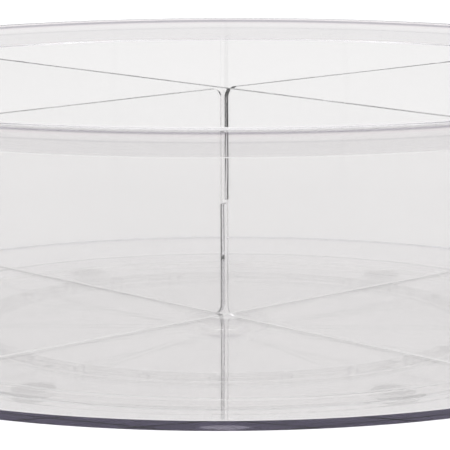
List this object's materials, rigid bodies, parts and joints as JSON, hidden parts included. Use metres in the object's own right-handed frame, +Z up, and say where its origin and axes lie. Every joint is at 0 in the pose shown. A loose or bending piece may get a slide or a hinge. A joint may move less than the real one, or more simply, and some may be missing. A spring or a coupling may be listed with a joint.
{
  "type": "divided turntable caddy",
  "caption": "Clear round storage bin with crossed lift-out dividers, turning on a low ball-bearing base.",
  "frame": {"origin": "on the table under the centre of the base, on the axis that the tub turns about", "axes": "+Z up along the turning axis; the dividers stand on the diagonals between X and Y, and the picture looks at the -Y side"},
  "size_m": [0.292, 0.292, 0.0858],
  "materials": {
    "tub_clear": "polished clear plastic, faint violet tint at the edges",
    "divider_clear": "polished clear plastic sheet with bright edges",
    "base_clear": "polished clear plastic",
    "cage_natural": "natural, slightly cloudy plastic",
    "ball_clear": "polished clear balls",
    "pin_clear": "polished clear plastic",
    "foot_soft": "soft translucent pad, satin"
  },
  "bodies": {
    "base": {"swivel_base": "base_clear", "foot_1": "foot_soft", "foot_2": "foot_soft", "foot_3": "foot_soft", "foot_4": "foot_soft", "foot_5": "foot_soft", "foot_6": "foot_soft"},
    "tub": {"tub": "tub_clear", "pivot_pin": "pin_clear"},
    "cage": {"ball_cage": "cage_natural", "bearing_ball_01": "ball_clear", "bearing_ball_02": "ball_clear", "bearing_ball_03": "ball_clear", "bearing_ball_04": "ball_clear", "bearing_ball_05": "ball_clear", "bearing_ball_06": "ball_clear", "bearing_ball_07": "ball_clear", "bearing_ball_08": "ball_clear", "bearing_ball_09": "ball_clear", "bearing_ball_10": "ball_clear", "bearing_ball_11": "ball_clear", "bearing_ball_12": "ball_clear", "bearing_ball_13": "ball_clear", "bearing_ball_14": "ball_clear", "bearing_ball_15": "ball_clear", "bearing_ball_16": "ball_clear", "bearing_ball_17": "ball_clear", "bearing_ball_18": "ball_clear", "bearing_ball_19": "ball_clear", "bearing_ball_20": "ball_clear", "bearing_ball_21": "ball_clear", "bearing_ball_22": "ball_clear", "bearing_ball_23": "ball_clear", "bearing_ball_24": "ball_clear"},
    "lower_divider": {"lower_divider": "divider_clear"},
    "upper_divider": {"upper_divider": "divider_clear"}
  },
  "joints": [
    {"name": "tub_spin", "type": "hinge", "parent": "base", "child": "tub", "pos_m": [0, 0, 0.0054], "axis": [0, 0, 1], "continuous": true},
    {"name": "cage_spin", "type": "hinge", "parent": "base", "child": "cage", "pos_m": [0, 0, 0.0054], "axis": [0, 0, 1], "continuous": true},
    {"name": "lower_divider_lift", "type": "slide", "parent": "tub", "child": "lower_divider", "axis": [0, 0, 1], "range_m": [0, 0.08]},
    {"name": "upper_divider_lift", "type": "slide", "parent": "lower_divider", "child": "upper_divider", "axis": [0, 0, 1], "range_m": [0, 0.08]}
  ],
  "couplings": [
    {"joint": "cage_spin", "follows": "tub_spin", "ratio": 0.5}
  ]
}
